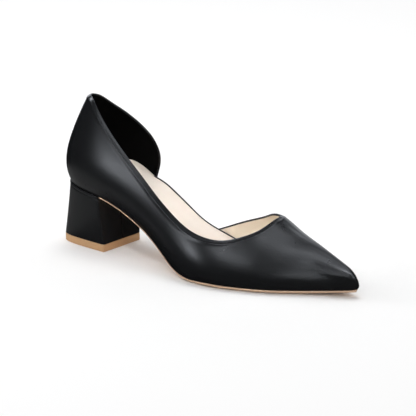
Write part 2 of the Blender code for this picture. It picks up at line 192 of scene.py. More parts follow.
@dataclass
class Last:
    """The last: a feather line round its bottom edge, a spine along its top, and ribs between them.

    Stations count round the feather line: 0 at the back, toe at the tip by the lateral side, and on
    to twice the toe's count back at the heel by the medial side.
    """

    feather_back: tuple[float, float, float] = (-2.7, 0.0, 47.9)
    feather_tip: tuple[float, float, float] = (245.4, 2.6, 6.0)
    feather_rows: tuple[FeatherRow, ...] = (
        FeatherRow(2, -11.0, 47.4, 11.0, 48.6),
        FeatherRow(10, -18.3, 46.4, 17.8, 48.9),
        FeatherRow(22, -22.4, 44.7, 21.2, 49.1),
        FeatherRow(38, -23.8, 42.2, 21.8, 48.9),
        FeatherRow(55, -24.2, 37.4, 20.2, 47.6),
        FeatherRow(70, -25.2, 31.3, 18.5, 41.6),
        FeatherRow(85, -27.4, 24.3, 18.2, 32.6),
        FeatherRow(100, -31.2, 15.7, 19.8, 22.9),
        FeatherRow(115, -36.2, 7.3, 23.6, 15.4),
        FeatherRow(130, -40.2, 2.9, 28.2, 8.6),
        FeatherRow(145, -41.5, 2.8, 31.8, 4.4),
        FeatherRow(160, -39.7, 2.8, 33.8, 2.9),
        FeatherRow(175, -35.6, 2.8, 33.4, 2.8),
        FeatherRow(190, -29.4, 2.8, 29.8, 2.8),
        FeatherRow(205, -20.8, 3.0, 23.6, 3.0),
        FeatherRow(220, -11.8, 3.6, 16.2, 3.6),
        FeatherRow(234, -4.2, 4.6, 9.2, 4.6),
        FeatherRow(242, -0.7, 5.5, 5.9, 5.5),
    )
    spine_rows: tuple[SpineRow, ...] = (
        SpineRow(30, 1.0, 128.0),
        SpineRow(50, 0.5, 118.0),
        SpineRow(75, 0.0, 104.0),
        SpineRow(100, 0.0, 89.0),
        SpineRow(125, 1.0, 74.0),
        SpineRow(150, 2.0, 59.0),
        SpineRow(168, 2.6, 50.2),
        SpineRow(182, 3.2, 43.9),
        SpineRow(188, 3.3, 40.5),
        SpineRow(195, 3.4, 37.0),
        SpineRow(209, 3.2, 32.0),
        SpineRow(222, 3.0, 27.0),
        SpineRow(232, 2.8, 22.5),
        SpineRow(236.5, 2.7, 20.6),
    )
    spine_ease: float = 3.0
    rib_rows: tuple[RibRow, ...] = (
        RibRow(0, 1.9, 1.6, 0.15),
        RibRow(40, 2.0, 1.6, 0.22),
        RibRow(80, 1.9, 1.6, 0.16),
        RibRow(120, 1.8, 1.6, 0.10),
        RibRow(150, 1.65, 1.75, 0.08),
        RibRow(180, 1.5, 2.0, 0.08),
        RibRow(210, 1.6, 1.9, 0.10),
        RibRow(228, 2.1, 1.85, 0.12),
        RibRow(240, 3.5, 2.0, 0.12),
        RibRow(250, 3.5, 2.0, 0.12),
    )
    swell_peak: float = 0.25
    dense_count: int = 2000
    nudge: float = 0.01

    def __post_init__(self) -> None:
        """Lay the smooth curves through the tables."""
        lateral = [(row.x, row.lateral_y, row.lateral_z) for row in self.feather_rows]
        medial = [(row.x, row.medial_y, row.medial_z) for row in reversed(self.feather_rows)]
        self.feather = Spline([self.feather_back, *lateral, self.feather_tip, *medial])
        self.spine = Spline([r[1:] for r in self.spine_rows], [r.x for r in self.spine_rows])
        self.rib_shape = Spline([r[1:] for r in self.rib_rows], [r.x for r in self.rib_rows])
        self.toe = len(self.feather_rows) + 1
        self.twice = 2 * self.toe
        before, end = self.spine_rows[-2:]
        self.ridge_slope = (before.z - end.z) / (end.x - before.x)
        self.dense_stations = np.linspace(0, self.toe, self.dense_count)
        self.dense_x = self.feather(self.dense_stations)[:, 0]

    def station(self, x: Array) -> Array:
        """Station of the lateral side at length x; the medial one is its negative."""
        return np.interp(x, self.dense_x, self.dense_stations)

    def spine_point(self, x: Array) -> Array:
        """Spine point of the rib at length x; ribs beyond the spine's ends fan out from them.

        Args:
            x: lengths on the feather line.

        Returns:
            Points on the spine, the length eased into its ends by a soft minimum and maximum.
        """
        low, high = self.spine_rows[0].x, self.spine_rows[-1].x
        eased = low + self.spine_ease * np.logaddexp(0, (x - low) / self.spine_ease)
        eased = high - self.spine_ease * np.logaddexp(0, (high - eased) / self.spine_ease)
        eased = np.clip(eased, low, high)
        return np.concatenate([eased[..., None], self.spine(eased)], -1)

    def surface(self, stations: Array, share: Array) -> Array:
        """Points of the last: share 0 lies on the feather line and share 1 on the spine.

        The plan distance from the spine falls as (1 - share^fullness)^(1 / roundness), and a swell
        that peaks low on the wall pushes it out. Ahead of the spine's end the top runs on at the
        ridge's slope.

        Args:
            stations: places on the feather line.
            share: share of the rib's height, of the same shape.

        Returns:
            Points in millimetres.
        """
        foot = self.feather(stations)
        top = self.spine_point(foot[..., 0])
        shape = self.rib_shape(np.clip(foot[..., 0], self.rib_rows[0].x, self.rib_rows[-1].x))
        fullness, roundness, swell = shape[..., 0], shape[..., 1], shape[..., 2]
        peak = self.swell_peak * (1 - self.swell_peak) ** 3
        bulge = share * (1 - share) ** 3 / peak
        reach = np.clip(1 - share**fullness, 0, 1) ** (1 / roundness) * (1 + swell * bulge)
        plan = top[..., :2] + (foot[..., :2] - top[..., :2]) * reach[..., None]
        crest = top[..., 2] - self.ridge_slope * np.maximum(plan[..., 0] - top[..., 0], 0)
        height = foot[..., 2] + (crest - foot[..., 2]) * share
        return np.concatenate([plan, height[..., None]], -1)

    def inward(self, stations: Array) -> Array:
        """Level unit vector from the feather line towards the inside of the shoe."""
        along = (self.feather(stations + self.nudge) - self.feather(stations - self.nudge))[..., :2]
        return unit(np.stack([-along[..., 1], along[..., 0]], -1))

    def edge(self, stations: Array, rise: Array, inset: Array) -> Array:
        """Points on the wall, rise above the feather line and inset towards the inside.

        Args:
            stations: places on the feather line.
            rise: height above it in millimetres.
            inset: level distance in from the wall in millimetres.

        Returns:
            Points in millimetres.
        """
        foot = self.feather(stations)
        share = rise / (self.spine_point(foot[..., 0])[..., 2] - foot[..., 2])
        point = self.surface(stations, np.clip(share, 0, 1))
        point[..., :2] += self.inward(stations) * np.asarray(inset)[..., None]
        return point


LAST = Last()


@dataclass
class Polygons:
    """A mesh as arrays: points in millimetres, and faces as one flat list of corners with their sizes."""

    points: Array
    corners: Array
    sizes: Array
    polish: Array | None = None

    @classmethod
    def from_grid(cls, grid: Array, closed: bool = False, capped: bool = False) -> "Polygons":
        """Four-sided faces over a grid of points, wound so that row then column turns outwards.

        Args:
            grid: points, rows by columns by 3.
            closed: join the last column to the first.
            capped: close the first and the last row with one face each.

        Returns:
            The mesh.
        """
        rows, columns = grid.shape[:2]
        index = np.arange(rows * columns).reshape(rows, columns)
        if closed:
            index = np.concatenate([index, index[:, :1]], 1)
        quads = np.stack([index[:-1, :-1], index[1:, :-1], index[1:, 1:], index[:-1, 1:]], -1)
        corners, sizes = [quads.ravel()], [np.full(quads[..., 0].size, 4)]
        if capped:
            corners += [np.arange(columns), np.arange(rows * columns)[: -columns - 1 : -1]]
            sizes.append(np.full(2, columns))
        return cls(grid.reshape(-1, 3), np.concatenate(corners), np.concatenate(sizes))

    def starts(self) -> Array:
        """First corner of each face."""
        return np.cumsum(self.sizes) - self.sizes

    def mesh(self, name: str, offset: Array) -> bpy.types.Mesh:
        """Blender mesh in metres, with coincident points merged.

        Args:
            name: the mesh's name.
            offset: millimetres added to every point.

        Returns:
            The mesh, shaded smooth.
        """
        made = bpy.data.meshes.new(name)
        made.vertices.add(len(self.points))
        made.loops.add(len(self.corners))
        made.polygons.add(len(self.sizes))
        made.vertices.foreach_set("co", ((self.points + offset) * MM).astype(np.float32).ravel())
        made.polygons.foreach_set("loop_start", self.starts().astype(np.int32))
        made.polygons.foreach_set("vertices", self.corners.astype(np.int32))
        made.update(calc_edges=True)
        if self.polish is not None:
            made.attributes.new(POLISH, "FLOAT", "POINT").data.foreach_set("value", self.polish)
        work = bmesh.new()
        work.from_mesh(made)
        bmesh.ops.remove_doubles(work, verts=work.verts, dist=MERGE_MM * MM)
        work.to_mesh(made)
        work.free()
        made.shade_smooth()
        return made

    def boundary(self) -> Array:
        """Open edges, which have one face only.

        Returns:
            Pairs of points, each in its face's turning sense.
        """
        after = np.arange(len(self.corners)) + 1
        after[self.starts() + self.sizes - 1] = self.starts()
        pairs = np.stack([self.corners, self.corners[after]], 1)
        low, high = pairs.min(1), pairs.max(1)
        edges = low * len(self.points) + high
        _, which, counts = np.unique(edges, return_inverse=True, return_counts=True)
        return pairs[counts[which] == 1]


@dataclass
class Skin:
    """An open surface with its normals, from which walls of leather are cut."""

    faces: Polygons
    normals: Array

    @classmethod
    def from_grid(cls, grid: Array) -> "Skin":
        """Surface over a grid, its coincident points merged.

        Args:
            grid: points, rows by columns by 3.

        Returns:
            The surface with a normal at each point.
        """
        mesh = Polygons.from_grid(grid).mesh("skin", np.zeros(3))
        points, normals = np.zeros((2, len(mesh.vertices) * 3))
        corners, sizes = np.zeros(len(mesh.loops), int), np.zeros(len(mesh.polygons), int)
        mesh.vertices.foreach_get("co", points)
        mesh.vertex_normals.foreach_get("vector", normals)
        mesh.loops.foreach_get("vertex_index", corners)
        mesh.polygons.foreach_get("loop_total", sizes)
        bpy.data.meshes.remove(mesh)
        return cls(Polygons(points.reshape(-1, 3) / MM, corners, sizes), normals.reshape(-1, 3))

    def nearest(self, places: Array) -> Array:
        """Index of the open edge's point nearest to each place."""
        edge = np.unique(self.faces.boundary())
        return edge[path_distance(places, self.faces.points[edge])[1]]

    def outwards(self) -> tuple[Array, Array]:
        """Points of the open edge and the unit vectors that point out of the surface there.

        Returns:
            Indices of the edge's points, and for every point of the surface the mean of the edge's
            directions crossed with the normal (zero away from the edge).
        """
        pairs = self.faces.boundary()
        along = unit(self.faces.points[pairs[:, 1]] - self.faces.points[pairs[:, 0]])
        out = np.zeros_like(self.normals)
        np.add.at(out, pairs[:, 0], np.cross(along, self.normals[pairs[:, 0]]))
        np.add.at(out, pairs[:, 1], np.cross(along, self.normals[pairs[:, 1]]))
        return np.unique(pairs), unit(out)

    def wall(self, outer: Array, inner: Array, lip: Array, steps: int = 6) -> Polygons:
        """Closed wall between two offsets of the surface, its open edge rolled over in a half round.

        Args:
            outer: offset of the outer face along the normal, at each point.
            inner: offset of the inner face.
            lip: how far the rolled edge stands out, at each point.
            steps: faces across the rolled edge.

        Returns:
            The closed mesh.
        """
        count = len(self.normals)
        pairs = self.faces.boundary()
        rim, out = self.outwards()
        front = self.faces.points + self.normals * outer[:, None]
        back = self.faces.points + self.normals * inner[:, None]
        rolled = half_round(front[rim], back[rim], out[rim] * lip[rim][:, None], steps)
        place = np.zeros(count, int)
        place[rim] = np.arange(len(rim))
        rows = [np.arange(count)]
        rows += [2 * count + step * len(rim) + place for step in range(steps - 1)]
        rows.append(np.arange(count) + count)
        start, end = pairs.T
        quads = [np.stack([b[start], b[end], a[end], a[start]], 1) for a, b in zip(rows, rows[1:])]
        strip = np.concatenate(quads)
        return Polygons(
            np.concatenate([front, back, rolled.reshape(-1, 3)]),
            np.concatenate([self.faces.corners, self.faces.corners[::-1] + count, strip.ravel()]),
            np.concatenate([self.faces.sizes, self.faces.sizes[::-1], np.full(len(strip), 4)]),
        )


def half_round(high: Array, low: Array, out: Array, steps: int) -> Array:
    """Rows of points over half an ellipse from a high edge to a low one.

    Each is the middle, plus half the difference times the cosine, plus the way out times the sine.

    Args:
        high: points of the high edge.
        low: points of the low edge.
        out: how far and which way the ellipse stands out at each.
        steps: faces across it.

    Returns:
        Points, rows between the edges by points by 3.
    """
    turn = np.linspace(0, math.pi, steps + 1)[1:-1, None, None]
    return (high + low) / 2 + (high - low) / 2 * np.cos(turn) + out * np.sin(turn)


def path_distance(points: Array, path: Array) -> tuple[Array, Array]:
    """Distance of points from a closely spaced path, worked out in blocks to save memory.

    Args:
        points: the points.
        path: points of the path.

    Returns:
        For each point the distance to the nearest point of the path, and the number of that point.
    """
    blocks = np.array_split(points, max(1, len(points) // BLOCK))
    squares = [((block[:, None] - path[None]) ** 2).sum(-1) for block in blocks]
    nearest = np.concatenate([square.argmin(1) for square in squares])
    return np.sqrt(np.concatenate([square.min(1) for square in squares])), nearest


def arc_length(path: Array) -> Array:
    """Length along a path up to each of its points."""
    return np.concatenate([[0], np.cumsum(np.linalg.norm(np.diff(path, axis=0), axis=-1))])


def at_length(rows: Array, length: Array, places: Array) -> Array:
    """Rows that belong to the points of a path, read at places along its length."""
    return np.stack([np.interp(places, length, rows[:, axis]) for axis in range(rows.shape[1])], -1)


def swept(path: Array, across: Array, down: Array, profile: Array) -> Polygons:
    """Closed profile of sizes across and down, carried along a path and capped at both ends."""
    rings = path[:, None] + across[:, None] * profile[None, :, :1] + down[:, None] * profile[None, :, 1:]
    return Polygons.from_grid(rings, closed=True, capped=True)


def pebble_outline(
    first: tuple[float, float], second: tuple[float, float], count: int = 16, power: int = 3
) -> Array:
    """Closed outline of a rounded strip: a superellipse inside a box.

    Args:
        first: lowest and highest value of the first coordinate.
        second: the same for the second coordinate.
        count: corners of the outline.
        power: the superellipse's power.

    Returns:
        One row of two sizes for each corner.
    """
    turn = np.linspace(0, 2 * math.pi, count, endpoint=False)
    wave = np.stack([np.cos(turn), np.sin(turn)], -1)
    low, high = np.array([first, second]).T
    return (low + high) / 2 + (high - low) / 2 * np.sign(wave) * np.abs(wave) ** (2 / power)


def linear(colour: str) -> tuple[float, float, float, float]:
    """Linear colour of an sRGB value: straight for the darkest tones, a power of 2.4 above.

    Args:
        colour: the value in hex, after a hash sign.

    Returns:
        Red, green, blue and full opacity.
    """
    channels = np.array([int(colour[i : i + 2], 16) for i in (1, 3, 5)]) / 255
    values = np.where(channels <= 0.04045, channels / 12.92, ((channels + 0.055) / 1.055) ** 2.4)
    return (*values.tolist(), 1.0)


def per_metre(size_mm: float) -> float:
    """Texture scale of a pattern whose cells are size_mm wide."""
    return 1 / (size_mm * MM)


class Recipe:
    """A material in the making: its nodes, and the place on the object that patterns are read at."""

    def __init__(self, name: str, settings: dict[str, float]) -> None:
        """Start a material.

        Args:
            name: the material's name.
            settings: values of the shader's sockets.
        """
        self.material = bpy.data.materials.new(name)
        self.material.use_nodes = True
        self.tree = self.material.node_tree
        self.shader = self.tree.nodes["Principled BSDF"]
        for socket, value in settings.items():
            self.shader.inputs[socket].default_value = value
        self.place = self.add("TexCoord", {}, {}).outputs["Object"]

    def add(self, kind: str, settings: dict, links: dict) -> bpy.types.Node:
        """Add a node.

        Args:
            kind: type of the shader node.
            settings: values by name, for the node's sockets or else its own properties.
            links: outputs to join, by the name or the number of the socket.

        Returns:
            The node.
        """
        made = self.tree.nodes.new("ShaderNode" + kind)
        for name, value in settings.items():
            if isinstance(name, int) or name in made.inputs:
                made.inputs[name].default_value = value
            else:
                setattr(made, name, value)
        for name, output in links.items():
            self.tree.links.new(output, made.inputs[name])
        return made

    def join(self, output: bpy.types.NodeSocket, socket: str) -> None:
        """Join an output to a socket of the shader."""
        self.tree.links.new(output, self.shader.inputs[socket])

    def noise(self, size_mm: float, detail: float = 2.0) -> bpy.types.NodeSocket:
        """Noise whose cells are size_mm wide."""
        settings = {"Scale": per_metre(size_mm), "Detail": detail}
        return self.add("TexNoise", settings, {"Vector": self.place}).outputs["Fac"]

    def dye(self, deep: str, pale: str, share: bpy.types.NodeSocket) -> None:
        """Colour the material from deep to pale as the share rises."""
        settings = {"data_type": "RGBA", 6: linear(deep), 7: linear(pale)}
        self.join(self.add("Mix", settings, {0: share}).outputs[2], "Base Color")

    def relief(self, height: bpy.types.NodeSocket, depth_mm: float) -> None:
        """Bump of a height, depth_mm deep."""
        settings = {"Strength": 1.0, "Distance": depth_mm * MM}
        self.join(self.add("Bump", settings, {"Height": height}).outputs["Normal"], "Normal")


@dataclass(frozen=True)
class Leather:
    """Tanned leather: pebbled grain between fine furrows, pores, and a slow mottle of the dye."""

    name: str
    deep: str
    pale: str
    rough_low: float
    rough_high: float
    grain_mm: float
    grain_depth_mm: float
    furrow: float = 0.35
    pore_mm: float = 0.35
    pore_share: float = 0.35
    mottle_mm: float = 9.0
    ior: float = 1.45
    polish_gain: float = 0.07

    def material(self) -> bpy.types.Material:
        """Material of the leather.

        Voronoi cells give the pebbles and noise the pores, both as bump. A second noise mottles the
        colour between the deep and the pale dye and carries the roughness from low to high. Where the
        piece's polish attribute says that hands or tools rubbed it, the roughness falls.

        Returns:
            The material.
        """
        recipe = Recipe(self.name, {"IOR": self.ior})
        mottle = recipe.noise(self.mottle_mm, detail=4.0)
        recipe.dye(self.deep, self.pale, mottle)
        rough_range = {"To Min": self.rough_low, "To Max": self.rough_high}
        rough = recipe.add("MapRange", rough_range, {"Value": mottle}).outputs["Result"]
        rubbed = recipe.add("Attribute", {"attribute_name": POLISH}, {}).outputs["Fac"]
        polish = {"operation": "MULTIPLY_ADD", 1: -self.polish_gain}
        recipe.join(recipe.add("Math", polish, {0: rubbed, 2: rough}).outputs[0], "Roughness")
        cells = {"feature": "DISTANCE_TO_EDGE", "Scale": per_metre(self.grain_mm)}
        pebble = recipe.add("TexVoronoi", cells, {"Vector": recipe.place}).outputs["Distance"]
        slope = {"From Max": self.furrow, "interpolation_type": "SMOOTHSTEP"}
        dome = recipe.add("MapRange", slope, {"Value": pebble}).outputs["Result"]
        pores = {"operation": "MULTIPLY_ADD", 1: self.pore_share}
        height = recipe.add("Math", pores, {0: recipe.noise(self.pore_mm), 2: dome}).outputs[0]
        recipe.relief(height, self.grain_depth_mm)
        return recipe.material


@dataclass(frozen=True)
class SoleRubber:
    """Cast tan rubber: a fine sanded face, faint level streaks from the buffing wheel, no gloss."""

    name: str
    deep: str
    pale: str
    rough: float
    streak_mm: float
    streak_stretch: float = 30.0
    grit_mm: float = 0.4
    grit_depth_mm: float = 0.02
    ior: float = 1.5

    def material(self) -> bpy.types.Material:
        """Material of the rubber.

        Noise stretched along the level directions streaks the colour, and fine noise is the grit.

        Returns:
            The material.
        """
        recipe = Recipe(self.name, {"Roughness": self.rough, "IOR": self.ior})
        upright = per_metre(self.streak_mm)
        level = upright / self.streak_stretch
        scale = {"Scale": (level, level, upright)}
        stretched = recipe.add("Mapping", scale, {"Vector": recipe.place}).outputs["Vector"]
        streak = recipe.add("TexNoise", {"Scale": 1.0, "Detail": 3.0}, {"Vector": stretched})
        recipe.dye(self.deep, self.pale, streak.outputs["Fac"])
        recipe.relief(recipe.noise(self.grit_mm), self.grit_depth_mm)
        return recipe.material


@dataclass(frozen=True)
class Paper:
    """Pale studio paper: matte, with a slow unevenness of tone."""

    name: str
    deep: str
    pale: str
    tone_mm: float = 900.0
    rough: float = 0.9
    ior: float = 1.2

    def material(self) -> bpy.types.Material:
        """Material of the paper: noise between two near whites.

        Returns:
            The material.
        """
        recipe = Recipe(self.name, {"Roughness": self.rough, "IOR": self.ior})
        recipe.dye(self.deep, self.pale, recipe.noise(self.tone_mm))
        return recipe.material


# Aniline calf with a satin top coat: deep black, a broad soft highlight, fine pebbles. Real pebbles are
# about 0.3 mm wide; here and on the other leathers they are drawn coarser, so that they show at all.
# The wide shallow pores stand for the hide's slow unevenness
CALF = Leather(
    "black calf leather", "#111214", "#18191B", 0.25, 0.33,
    grain_mm=1.1, grain_depth_mm=0.012, pore_mm=1.5, pore_share=2.4,
)
# Heel cover: the same hide pulled flat over the block, so its grain is shallower and its gloss wider
COVER = Leather(
    "black calf heel cover", "#121315", "#18191B", 0.38, 0.46, grain_mm=1.1, grain_depth_mm=0.01
)
# Counter lining: soft black sheepskin, flesh side out, so no gloss
COUNTER_LINING = Leather(
    "black sheepskin lining", "#040404", "#080808", 0.75, 0.9, grain_mm=0.7, grain_depth_mm=0.03, ior=1.2
)
# Vamp lining: undyed pigskin, warm beige with open pores
VAMP_LINING = Leather(
    "beige pigskin lining", "#F6E8D2", "#FCF1E0", 0.6, 0.75, grain_mm=1.4, grain_depth_mm=0.03
)
# Sock: cream sheepskin over thin foam, matte and nearly plain
SOCK_LEATHER = Leather(
    "cream sheepskin sock", "#DFD2C6", "#E4DACF", 0.55, 0.7, grain_mm=1.6, grain_depth_mm=0.025
)
# Soles: rubber cast in a mould and buffed at its edge, so matte with faint level streaks
OUTSOLE_RUBBER = SoleRubber("tan cast rubber", "#D2AE90", "#DDBEA2", 0.55, streak_mm=1.2)
TOP_PIECE_RUBBER = SoleRubber("tan wear rubber", "#B98F64", "#CBA378", 0.6, streak_mm=0.9)
FLOOR_PAPER = Paper("white studio paper", "#F4F4F4", "#F8F8F8")


@dataclass
class Workshop:
    """Puts finished meshes into the scene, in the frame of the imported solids."""

    offset: Array

    def dress(self, finish: Leather | SoleRubber | Paper) -> bpy.types.Material:
        """The material of a finish, made once."""
        return bpy.data.materials.get(finish.name) or finish.material()

    def place(
        self,
        name: str,
        shape: Polygons,
        finish: Leather | SoleRubber,
        slot: Slot,
        replaces: str | None = None,
        sharp_degrees: float = 60.0,
    ) -> None:
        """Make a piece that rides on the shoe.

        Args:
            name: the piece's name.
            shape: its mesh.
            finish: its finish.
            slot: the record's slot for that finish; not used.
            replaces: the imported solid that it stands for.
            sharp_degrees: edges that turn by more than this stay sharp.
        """
        mesh = shape.mesh(name, self.offset)
        mesh.set_sharp_from_angle(angle=math.radians(sharp_degrees))
        mesh.materials.append(self.dress(finish))
        made = bpy.data.objects.new(name, mesh)
        bpy.context.collection.objects.link(made)
        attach(made, "root")
        if replaces:
            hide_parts(replaces)
        LOG.info("%s: %d faces", name, len(mesh.polygons))


class Crease(NamedTuple):
    """Soft trough (depth below 0) or ridge between two places of the upper, as (length, share)."""

    side: Side
    start: tuple[float, float]
    end: tuple[float, float]
    width: float
    depth: float
    fade_in: float = 0.4
    fade_out: float = 0.4


@dataclass
class Upper:
    """Upper: black calf outside, black counter lining and beige vamp lining inside, folded top edge."""

    shop: Workshop
    leather: float = 0.9
    wall: float = 1.8
    ribs_per_row: int = 14
    rows: int = 60
    crowding: float = 0.55
    lobe_foot_x: float = 57.3
    lobe_bow: float = 5.0
    lobe_bow_fade_x: float = 25.0
    lobe_bow_scale: float = 27 / 4
    tip_reach: float = 0.6
    lining_join_foot_x: float = 84.0
    lining_step: int = 2
    bead: float = 0.32
    bead_at: float = 2.6
    bead_width: float = 1.2
    curl: float = 0.9
    curl_reach: float = 4.2
    edge_fold: float = 0.75
    edge_fold_reach: float = 1.0
    throat_calm: float = 0.5
    throat_calm_from_x: float = 150.0
    throat_calm_to_x: float = 172.0
    rim_lip: float = 0.5
    sole_lip: float = 0.12
    fold_depth: float = 0.6
    fold_rise: float = 0.1
    fold_groove: float = 0.6
    fold_proud: float = 0.3
    fold_points: int = 560
    polish_reach: float = 4.0
    creases: tuple[Crease, ...] = (
        Crease(Side.LATERAL, (208, 0.765), (247, 0.82), 2.1, 0.32, 0.6, 0.1),
        Crease(Side.LATERAL, (212, 0.53), (247, 0.63), 1.8, 0.3, 0.5, 0.1),
    )
    back_rim_share: float = 0.785
    lobe_rim: tuple[RimRow, ...] = (
        RimRow(54.5, 0.51, 57.3),
        RimRow(48.5, 0.55, 49),
        RimRow(41.5, 0.58, 41.5),
        RimRow(34, 0.605, 34),
        RimRow(26, 0.635, 26),
        RimRow(17.5, 0.675, 17.5),
        RimRow(9.5, 0.72, 9.5),
        RimRow(2, 0.762, 2),
    )
    collar_rim: tuple[RimRow, ...] = (
        RimRow(4, 0.795, 4),
        RimRow(14, 0.79, 14),
        RimRow(25, 0.748, 25),
        RimRow(42, 0.64, 42),
        RimRow(59, 0.553, 59),
        RimRow(76, 0.495, 76),
        RimRow(94, 0.459, 93),
        RimRow(111, 0.467, 109),
        RimRow(128, 0.479, 124),
        RimRow(142, 0.496, 137),
        RimRow(154, 0.54, 148),
        RimRow(163.5, 0.625, 158),
        RimRow(171.5, 0.737, 167),
        RimRow(177, 0.857, 175),
        RimRow(179.4, 0.96, 182),
        RimRow(179.7, 1.0, 188),
    )
    ridge_rim: tuple[RimRow, ...] = (
        RimRow(179.7, 1.0, 188),
        RimRow(188, 1.0, 195),
        RimRow(197, 1.0, 203),
        RimRow(207, 1.0, 211),
        RimRow(217, 1.0, 219.5),
        RimRow(226, 1.0, 227),
        RimRow(233, 1.0, 233.5),
        RimRow(238.5, 1.0, 238.5),
        RimRow(242.5, 1.0, 242.5),
    )
    vamp_rim: tuple[RimRow, ...] = (
        RimRow(179.7, 1.0, 188),
        RimRow(176.5, 0.955, 181),
        RimRow(170.5, 0.875, 172),
        RimRow(163.5, 0.785, 163),
        RimRow(153, 0.62, 151),
        RimRow(140, 0.44, 138),
        RimRow(129, 0.29, 127.5),
        RimRow(119.5, 0.15, 118),
        RimRow(111, 0.03, 111),
    )

    def rim_row(self, row: RimRow, side: Side) -> tuple[float, float, float]:
        """A rim row as station, rib angle and foot station."""
        sign = side.value
        return sign * LAST.station(row.x), math.asin(row.share), sign * LAST.station(row.foot_x)

    def chain(self, rows: Array) -> Array:
        """Rim rows (station, rib angle and foot station) spread into ribs along a smooth curve."""
        steps = np.arange(len(rows))
        return Spline(rows, steps)(np.linspace(0, steps[-1], self.ribs_per_row * steps[-1] + 1))

    def ribs(self) -> tuple[Array, int, int]:
        """Rim of every rib, from the lobe's front edge round the heel and the toe to the vamp's end.

        Returns:
            The ribs, and the numbers of the two ribs that meet at the throat.
        """
        counter = [self.rim_row(row, Side.MEDIAL) for row in self.lobe_rim]
        counter.append((0.0, math.asin(self.back_rim_share), 0.0))
        counter += [self.rim_row(row, Side.LATERAL) for row in self.collar_rim]
        counter = self.chain(counter)
        ridge = [self.rim_row(row, Side.LATERAL) for row in self.ridge_rim]
        ridge = self.chain([*ridge, (LAST.toe, math.pi / 2, LAST.toe)])
        mirror = np.array([-1, 1, -1]), np.array([LAST.twice, 0, LAST.twice])
        far_ridge = ridge[::-1] * mirror[0] + mirror[1]
        vamp = self.chain([self.rim_row(row, Side.MEDIAL) for row in self.vamp_rim]) + mirror[1]
        throat = len(counter) - 1
        far_throat = throat + 2 * (len(ridge) - 1)
        return np.concatenate([counter, ridge[1:], far_ridge[1:], vamp[1:]]), throat, far_throat

    def grid(self, ribs: Array) -> Array:
        """Outer surface: one line of points up each rib, closer together near the sole and the rim.

        Along a rib the station runs from its foot to its end and the share of the height is the sine
        of the rib angle times the way up. The lobe's front ribs bow forward by up^2 (1 - up). Where
        the ribs crowd together at the toe's tip they end in one point.

        Args:
            ribs: station, rib angle and foot station of each rib.

        Returns:
            Points, ribs by rows by 3.
        """
        way = np.linspace(0, 1, self.rows + 1)
        up = way - self.crowding * np.sin(2 * math.pi * way) / (2 * math.pi)
        end, angle, foot = (column[:, None] for column in ribs.T)
        front, back = LAST.station(self.lobe_foot_x), LAST.station(self.lobe_bow_fade_x)
        lobe = smooth_step((-foot - back) / (front - back))
        forward = LAST.station(self.lobe_foot_x + self.lobe_bow) - front
        bow = -forward * lobe * up**2 * (1 - up) * self.lobe_bow_scale
        points = LAST.surface(foot + (end - foot) * up + bow, np.sin(angle * up))
        tip = points[np.argmin(np.abs(ribs[:, 2] - LAST.toe)), -1]
        crowded = np.linalg.norm(points - tip, axis=-1) < self.tip_reach
        points[np.logical_or.accumulate(crowded, axis=1)] = tip
        return points

    def rim_path(self, grid: Array, throat: int, far_throat: int) -> Array:
        """The top edge: up the lobe's front, round the collar to the throat and down the vamp."""
        edges = grid[0, :-1], grid[: throat + 1, -1], grid[far_throat + 1 :, -1], grid[-1, -2::-1]
        return np.concatenate(edges)

    def roll(self, distance: Array, x: Array) -> Array:
        """Height of the folded edge's bead at a distance below the rim.

        A bell, curled in towards the edge by the cube of what is left of the curl's reach, and calmer
        near the throat.

        Args:
            distance: millimetres below the rim.
            x: length along the shoe.

        Returns:
            Height over the plain surface.
        """
        curled = self.bead * bell(distance, self.bead_at, self.bead_width)
        curled -= self.curl * np.clip(1 - distance / self.curl_reach, 0, 1) ** 3
        span = self.throat_calm_to_x - self.throat_calm_from_x
        return curled * (1 - self.throat_calm * smooth_step((x - self.throat_calm_from_x) / span))

    def creased(self, points: Array) -> Array:
        """Height of the listed troughs and ridges: bells across each line, fading to its ends.

        Args:
            points: points of the upper's surface.

        Returns:
            Height over the plain surface.
        """
        height = np.zeros(len(points))
        way = np.linspace(0, 1, CREASE_STEPS)
        for crease in self.creases:
            line = np.array(crease.start) + (np.array(crease.end) - np.array(crease.start)) * way[:, None]
            path = LAST.surface(crease.side.value * LAST.station(line[:, 0]), line[:, 1])
            away, nearest = path_distance(points, path)
            fade = smooth_step(way / crease.fade_in) * smooth_step((1 - way) / crease.fade_out)
            height += crease.depth * bell(away, 0.0, crease.width) * fade[nearest]
        return height

    def build(self) -> None:
        """Make the leather, the folded edge and the two linings."""
        ribs, throat, far_throat = self.ribs()
        grid = self.grid(ribs)
        skin = Skin.from_grid(grid)
        path = self.rim_path(grid, throat, far_throat)
        near_rim, _ = path_distance(skin.faces.points, path)
        feather, _ = path_distance(skin.faces.points, grid[:, 0])
        lip = np.where(feather < GAP, self.sole_lip, self.rim_lip)
        outer = self.roll(near_rim, skin.faces.points[:, 0]) + self.creased(skin.faces.points)
        folded = self.edge_fold * (1 - smooth_step(near_rim / self.edge_fold_reach))
        shape = skin.wall(outer, -self.leather - folded, lip)
        shape.polish = 1 - smooth_step(path_distance(shape.points, path)[0] / self.polish_reach)
        self.shop.place("upper_leather", shape, CALF, Slot.UPPER, "upper")
        self.build_fold(skin, path)
        join = int(np.argmin(np.abs(ribs[:throat, 2] - LAST.station(self.lining_join_foot_x))))
        coarse = grid[:, :: self.lining_step]
        self.build_lining("counter_lining", coarse[: join + 1], COUNTER_LINING)
        self.build_lining("vamp_lining", coarse[join:], VAMP_LINING)

